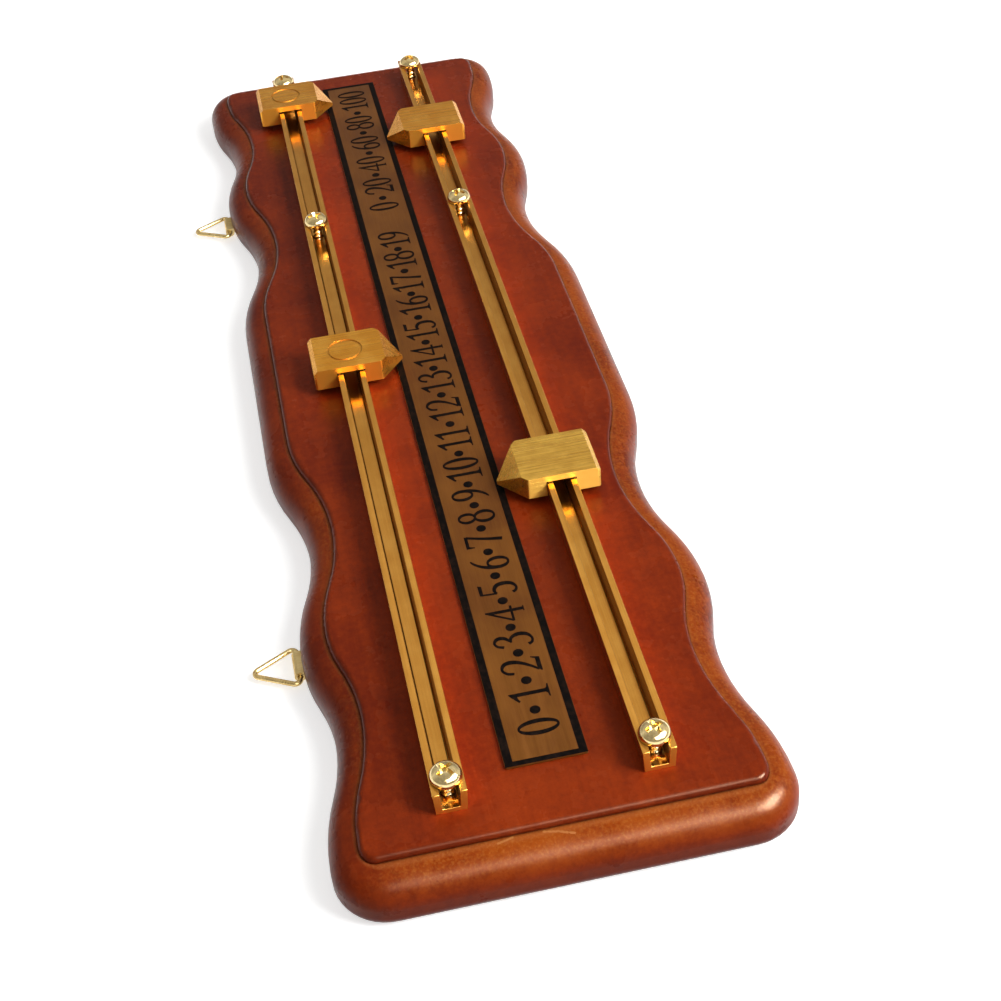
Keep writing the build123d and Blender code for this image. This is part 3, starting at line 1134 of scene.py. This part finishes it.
@dataclass
class BoardPanel:
    """The wooden board."""

    def build(self, finishes: Finishes) -> None:
        """Dresses the board; its moulded shape is the CAD's own."""
        dress("board", finishes.wood)


@dataclass
class Rails:
    """The two brass channels."""

    eased: float = 0.18 * MM

    def build(self, finishes: Finishes) -> None:
        """Dresses the rails and eases their edges."""
        for row in ("upper", "lower"):
            ease_edges(dress(f"{row}_rail", finishes.rail), self.eased)


@dataclass
class Pointers:
    """The four blocks that mark the score; one of them is brushed more coarsely."""

    eased: float = 0.22 * MM
    coarse: str = "lower_units_pointer"

    def build(self, finishes: Finishes) -> None:
        """Dresses the pointers and eases their edges.

        Args:
            finishes: the object's finishes.
        """
        for row in ("upper", "lower"):
            for run in ("units", "tens"):
                name = f"{row}_{run}_pointer"
                brass = finishes.brushed if name == self.coarse else finishes.pointer
                ease_edges(dress(name, brass), self.eased)


@dataclass(frozen=True)
class CrossScrew:
    """A pan head wood screw with a cross recess and a thread, head up, its head's underside at 0."""

    head_radius: float
    head_height: float
    rim_height: float
    shank_radius: float
    length: float
    point: float
    pitch: float
    thread_depth: float
    plain_shank: float
    recess_reach: float
    recess_width: float
    recess_depth: float
    around: int = 48
    dome_rows: int = 14
    rows_per_turn: int = 6
    blunt_tip: float = 0.02
    ridge_slope: float = 3.2
    rim_rounding: float = 0.3
    dome_fullness: float = 0.85
    driver_foot: Pair = (0.5, 0.6)
    driver_top: Pair = (1.15, 1.08)
    driver_above: float = 0.3
    crease: float = 38

    def thread_radius(self, z: float, turn: float) -> float:
        """The shank's radius at one place.

        Args:
            z: how high it is; the head's underside is at 0.
            turn: how far round it is, from 0 to 1.

        Returns:
            The radius.
        """
        taper = min(1.0, (self.length + z) / self.point)
        crest = self.shank_radius * max(taper, self.blunt_tip)
        if z > -self.plain_shank:
            return crest
        phase = (z / self.pitch - turn) % 1.0
        ridge = max(0.0, 1.0 - abs(phase - 0.5) * self.ridge_slope)
        fade = min(1.0, (-self.plain_shank - z) / self.pitch) * taper
        return crest - self.thread_depth * fade * (1.0 - ridge)

    def rows(self) -> list[tuple[float, float | None]]:
        """Lists the screw's rings from the point to the top.

        Returns:
            A height and a radius for each; a radius of None means the thread's.
        """
        count = round(self.length / self.pitch * self.rows_per_turn)
        rows = [(-self.length + self.length * i / count, None) for i in range(count)]
        rounding = self.rim_height * self.rim_rounding
        small = rounding * self.rim_rounding
        rows += [(0.0, self.shank_radius), (0.0, self.head_radius - rounding)]
        rows += [(small, self.head_radius - small), (rounding, self.head_radius)]
        for i in range(self.dome_rows):
            rise = i / self.dome_rows * math.pi / 2
            height = self.rim_height + (self.head_height - self.rim_height) * math.sin(rise)
            rows.append((height, self.head_radius * math.cos(rise) ** self.dome_fullness))
        return rows

    def body(self) -> Mesh:
        """Builds the screw without its recess.

        Returns:
            Its mesh.
        """
        bm = bmesh.new()
        rings = []
        for z, radius in self.rows():
            ring = []
            for i in range(self.around):
                turn = i / self.around
                r = self.thread_radius(z, turn) if radius is None else radius
                ring.append(bm.verts.new((r * math.cos(math.tau * turn), r * math.sin(math.tau * turn), z)))
            rings.append(ring)
        tube(bm, rings, capped=False)
        bm.faces.new(rings[0][::-1])
        top = bm.verts.new((0, 0, self.head_height))
        for i, corner in enumerate(rings[-1]):
            bm.faces.new((corner, rings[-1][(i + 1) % self.around], top))
        return bm

    def driver_arm(self, turn: float, material: Material) -> Piece:
        """One arm of the driver's tip, narrower at its foot, to cut the recess with.

        Args:
            turn: which way it points.
            material: the screw's finish.

        Returns:
            The arm.
        """
        bm = bmesh.new()
        foot = self.head_height - self.recess_depth
        rim = self.head_height + self.head_height * self.driver_above
        rings = []
        for z, (long, wide) in ((foot, self.driver_foot), (rim, self.driver_top)):
            x, y = self.recess_reach * long, self.recess_width * wide / 2
            ring = [Vector(corner) for corner in ((-x, -y, z), (x, -y, z), (x, y, z), (-x, y, z))]
            for corner in ring:
                corner.rotate(Quaternion(UPRIGHT, turn))
            rings.append([bm.verts.new(corner) for corner in ring])
        tube(bm, rings)
        return new_piece("driver_tip", bm, material)

    def build(self, name: str, material: Material) -> Piece:
        """Builds the whole screw at the origin.

        Args:
            name: the piece's name.
            material: its finish.

        Returns:
            The new object.
        """
        screw = new_piece(name, self.body(), material, self.crease)
        arms = [self.driver_arm(turn, material) for turn in (0.0, math.pi / 2)]
        for arm in arms:
            cut = screw.modifiers.new("recess", "BOOLEAN")
            cut.operation = "DIFFERENCE"
            cut.solver = "EXACT"
            cut.object = arm
        cut_mesh = bpy.data.meshes.new_from_object(screw.evaluated_get(bpy.context.evaluated_depsgraph_get()))
        screw.modifiers.clear()
        screw.data = cut_mesh
        cut_mesh.name = name
        cut_mesh.shade_smooth()
        cut_mesh.set_sharp_from_angle(angle=math.radians(self.crease))
        for arm in arms:
            bpy.data.meshes.remove(arm.data)
        return screw


def seat_screw(screw: Piece, node: str, place: Vector, flipped: bool, turn: float) -> None:
    """Puts a built screw where its CAD node is and lets it stand for the node.

    Args:
        screw: the piece, at the origin.
        node: the CAD node it replaces.
        place: where the underside of its head goes.
        flipped: whether its head points at the wall.
        turn: how far it is turned about its own axis, in degrees.
    """
    rotation = Quaternion(UPRIGHT, math.radians(turn))
    if flipped:
        rotation = Quaternion((1, 0, 0), math.pi) @ rotation
    screw.data.transform(rotation.to_matrix().to_4x4())
    screw.location = place
    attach(screw, ROOT_BODY)
    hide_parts(node)
    LOG.info("seated %s for %s", screw.name, node)


@dataclass
class StopScrews:
    """The six screws that hold the rails and stop the pointers."""

    turns: tuple[tuple[str, float], ...] = (
        ("upper_left", 38.0), ("upper_middle", 12.0), ("upper_right", 70.0),
        ("lower_left", 20.0), ("lower_middle", 55.0), ("lower_right", 33.0),
    )

    def build(self, finishes: Finishes) -> None:
        """Builds each screw and seats it on the rails' walls.

        Args:
            finishes: the object's finishes.
        """
        rail_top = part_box("upper_rail")[1].z
        for place, turn in self.turns:
            node = f"{place}_stop_screw"
            low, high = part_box(node)
            screw = CrossScrew(
                head_radius=(high.x - low.x) / 2, head_height=high.z - rail_top, rim_height=0.8 * MM,
                shank_radius=1.6 * MM, length=rail_top - low.z, point=3.5 * MM, pitch=1.45 * MM,
                thread_depth=0.42 * MM, plain_shank=0.5 * MM, recess_reach=2.9 * MM,
                recess_width=1.35 * MM, recess_depth=1.4 * MM,
            ).build(f"{place}_threaded_screw", finishes.screw)
            middle = (low + high) / 2
            seat_screw(screw, node, Vector((middle.x, middle.y, rail_top)), False, turn)


@dataclass
class Hangers:
    """The two wire rings, the straps that hold them and the straps' screws."""

    turns: tuple[tuple[str, float], ...] = (("left", 25.0), ("right", 64.0))
    head_height: float = 1.4 * MM

    def build(self, finishes: Finishes) -> None:
        """Dresses rings and straps, and builds the screws.

        Args:
            finishes: the object's finishes.
        """
        for side, turn in self.turns:
            dress(f"{side}_hanger_ring", finishes.wire)
            dress(f"{side}_hanger_strap", finishes.strap)
            node = f"{side}_hanger_screw"
            low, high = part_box(node)
            screw = CrossScrew(
                head_radius=(high.x - low.x) / 2, head_height=self.head_height, rim_height=0.5 * MM,
                shank_radius=1.5 * MM, length=high.z - low.z - self.head_height, point=2.5 * MM,
                pitch=1.2 * MM, thread_depth=0.4 * MM, plain_shank=0.4 * MM, recess_reach=1.6 * MM,
                recess_width=0.75 * MM, recess_depth=1.0 * MM,
            ).build(f"{side}_strap_screw", finishes.zinc)
            middle = (low + high) / 2
            seat = Vector((middle.x, middle.y, low.z + self.head_height))
            seat_screw(screw, node, seat, True, turn)


@dataclass
class Studio:
    """The pale floor, the soft lamps, the white surround and the camera."""

    camera_place: Three = (-0.41893, 0.04282, 0.31508)
    camera_aim: Three = (0.747954, -0.107893, -0.654923)
    camera_roll: float = -5.18
    lens_mm: float = 60.87
    sensor_mm: float = 36.0
    clip: Pair = (0.01, 50.0)
    white: Colour = (1.0, 1.0, 1.0, 1.0)
    surround: float = 0.38
    surround_tint: Colour = (1.0, 0.98, 0.95, 1.0)
    floor_bounce: Colour = (0.28, 0.26, 0.24, 1.0)
    floor_shown: Colour = (0.8, 0.8, 0.8, 1.0)
    floor_glow: float = 0.6
    floor_half: float = 6.0
    floor_drop: float = 0.1 * MM
    floor_cells: int = 8
    room_dim: Colour = (0.08, 0.07, 0.06, 1.0)
    room_pale: Colour = (0.92, 0.89, 0.84, 1.0)
    room_height: float = 1.9
    room_skirting: float = 0.3
    room_half: float = 3.6
    room_open_below: float = -0.5
    bay_scale: float = 1.1 * MM
    bays: Four = (0.36, 0.6, 0.5, 0.95)
    rising: Four = (-500.0, 900.0, 0.44, 1.0)
    falling: Four = (1600.0, 3400.0, 1.0, 0.45)
    window_place: Three = (-0.62, -0.826, 0.855)
    window_size: Pair = (0.5, 0.82)
    window_watts: float = 17.0
    window_gleam_size: Pair = (0.9, 0.42)
    window_gleam_watts: float = 175.0
    side_place: Three = (-0.85, -0.36, 0.8)
    side_gleam_size: Pair = (0.9, 0.5)
    side_gleam_watts: float = 36.0
    gleam_bounced: float = 0.2
    gleam_mirrored: float = 0.3

    def sees_backdrop(self, graph: Graph) -> Socket:
        """1 for camera, glossy and transmission rays, and 0 for the rays that light the object.

        Args:
            graph: the tree to add to.

        Returns:
            The share.
        """
        path = graph.add("LightPath")
        seen = graph.math("MAXIMUM", path.outputs["Is Camera Ray"], path.outputs["Is Glossy Ray"])
        return graph.math("MAXIMUM", seen, path.outputs["Is Transmission Ray"])

    def shown_or_lighting(self, graph: Graph, shown: Node, lighting: Node, output: str) -> None:
        """Ends a tree with one shader for the rays that see it and one for the rays that light the object.

        Args:
            graph: the tree.
            shown: the shader that is seen.
            lighting: the shader that lights the object.
            output: the kind of output node.
        """
        mix = graph.add("MixShader", Fac=self.sees_backdrop(graph))
        graph.feed(mix.inputs[1], lighting.outputs[0])
        graph.feed(mix.inputs[2], shown.outputs[0])
        graph.feed(graph.add(output).inputs["Surface"], mix.outputs[0])

    def empty_tree(self, owner: bpy.types.World | Material) -> Graph:
        """Gives a world or a material an empty tree.

        Args:
            owner: the world or the material.

        Returns:
            A graph on the tree.
        """
        owner.use_nodes = True
        owner.node_tree.nodes.clear()
        return Graph(owner.node_tree)

    def make_world(self) -> None:
        """A white surround that lights the object at a plain level."""
        world = bpy.data.worlds.new("studio")
        bpy.context.scene.world = world
        graph = self.empty_tree(world)
        lighting = graph.add("Background", Color=self.surround_tint, Strength=self.surround)
        shown = graph.add("Background", Color=self.white, Strength=1.0)
        self.shown_or_lighting(graph, shown, lighting, "OutputWorld")

    def make_floor(self) -> None:
        """A pale floor that shows white and keeps the object's shadow."""
        material = bpy.data.materials.new("pale_floor")
        graph = self.empty_tree(material)
        lighting = graph.add("BsdfDiffuse", Color=self.floor_bounce)
        matt = graph.add("BsdfDiffuse", Color=self.floor_shown)
        glow = graph.add("Emission", Color=self.white, Strength=self.floor_glow)
        shown = graph.feed_all(graph.add("AddShader"), matt.outputs[0], glow.outputs[0])
        self.shown_or_lighting(graph, shown, lighting, "OutputMaterial")
        bm = bmesh.new()
        cells = self.floor_cells
        bmesh.ops.create_grid(bm, x_segments=cells, y_segments=cells, size=self.floor_half)
        bmesh.ops.translate(bm, verts=bm.verts, vec=(0, 0, -self.floor_drop))
        sheet = new_piece("floor", bm, material)

    def room_finish(self) -> Material:
        """The walls' and ceiling's finish: pale and dim bays, paler along the board and dim behind it.

        Returns:
            The material.
        """
        material = bpy.data.materials.new("room_bays")
        graph = self.empty_tree(material)
        along = graph.axes_mm()[0]
        bays = graph.add("TexNoise", Vector=graph.place_mm(), Scale=self.bay_scale, Detail=3.0, Roughness=0.6)
        tone = graph.times(graph.remap(bays.outputs[0], *self.bays), graph.remap(along, *self.rising))
        tone = graph.times(tone, graph.remap(along, *self.falling))
        glow = graph.add("Emission", Color=graph.blend(tone, self.room_dim, self.room_pale), Strength=1.0)
        graph.feed(graph.add("OutputMaterial").inputs["Surface"], glow.outputs[0])
        return material

    def make_room(self) -> None:
        """The walls and ceiling of a room that only reflections see, above the pale backdrop."""
        low, high, wide = self.room_skirting, self.room_height, 2 * self.room_half
        bm = bmesh.new()
        bmesh.ops.create_cube(bm, size=1.0)
        bmesh.ops.scale(bm, verts=bm.verts, vec=(wide, wide, high - low))
        bmesh.ops.translate(bm, verts=bm.verts, vec=(0, 0, (high + low) / 2))
        under = [face for face in bm.faces if face.normal.z < self.room_open_below]
        bmesh.ops.delete(bm, geom=under, context="FACES")
        room = new_piece("room", bm, self.room_finish())
        for seen_by in ("camera", "diffuse", "transmission", "shadow"):
            setattr(room, f"visible_{seen_by}", False)

    def lamp(self, name: str, place: Three, size: Pair, watts: float, only_gloss: bool = False) -> None:
        """A soft lamp aimed at the board's middle.

        Args:
            name: the lamp's name.
            place: where it stands.
            size: its width and height.
            watts: its power.
            only_gloss: whether it makes highlights and lights nothing else.
        """
        light = bpy.data.lights.new(name, "AREA")
        light.shape = "RECTANGLE"
        light.size, light.size_y = size
        light.energy = watts
        lamp = bpy.data.objects.new(name, light)
        lamp.location = place
        lamp.rotation_mode = "QUATERNION"
        lamp.rotation_quaternion = (-Vector(place)).to_track_quat("-Z", "Y")
        lamp.visible_camera = False
        lamp.visible_diffuse = not only_gloss
        if only_gloss:
            light.use_nodes = True
            graph = Graph(light.node_tree)
            path = graph.add("LightPath")
            spread = graph.remap(path.outputs["Diffuse Depth"], 0.0, 1.0, 1.0, self.gleam_bounced)
            mirrored = graph.remap(path.outputs["Ray Depth"], 1.0, 2.0, 1.0, self.gleam_mirrored)
            share = graph.math("MINIMUM", spread, mirrored)
            graph.feed(light.node_tree.nodes["Emission"].inputs["Strength"], share)
        bpy.context.scene.collection.objects.link(lamp)

    def make_camera(self) -> None:
        """The camera at the photograph's viewing angle."""
        data = bpy.data.cameras.new("camera")
        data.sensor_width = self.sensor_mm
        data.lens = self.lens_mm
        data.clip_start, data.clip_end = self.clip
        camera = bpy.data.objects.new("camera", data)
        camera.location = self.camera_place
        camera.rotation_mode = "QUATERNION"
        level = Vector(self.camera_aim).to_track_quat("-Z", "Y")
        camera.rotation_quaternion = level @ Quaternion(UPRIGHT, math.radians(self.camera_roll))
        bpy.context.scene.collection.objects.link(camera)
        bpy.context.scene.camera = camera

    def build(self) -> None:
        """Sets the whole stage."""
        self.make_world()
        self.make_floor()
        self.make_room()
        self.lamp("window", self.window_place, self.window_size, self.window_watts)
        self.lamp("window_gleam", self.window_place, self.window_gleam_size, self.window_gleam_watts, True)
        self.lamp("side_gleam", self.side_place, self.side_gleam_size, self.side_gleam_watts, True)
        self.make_camera()
        bpy.context.scene.view_settings.view_transform = "Standard"


def main() -> None:
    """Builds every sub-assembly, then the stage."""
    logging.basicConfig(level=logging.INFO, format="%(name)s: %(message)s")
    finishes = Finishes()
    for part in (BoardPanel(), NumberPlate(), Rails(), StopScrews(), Pointers(), Hangers()):
        part.build(finishes)
    Studio().build()


if __name__ == "__main__":
    main()
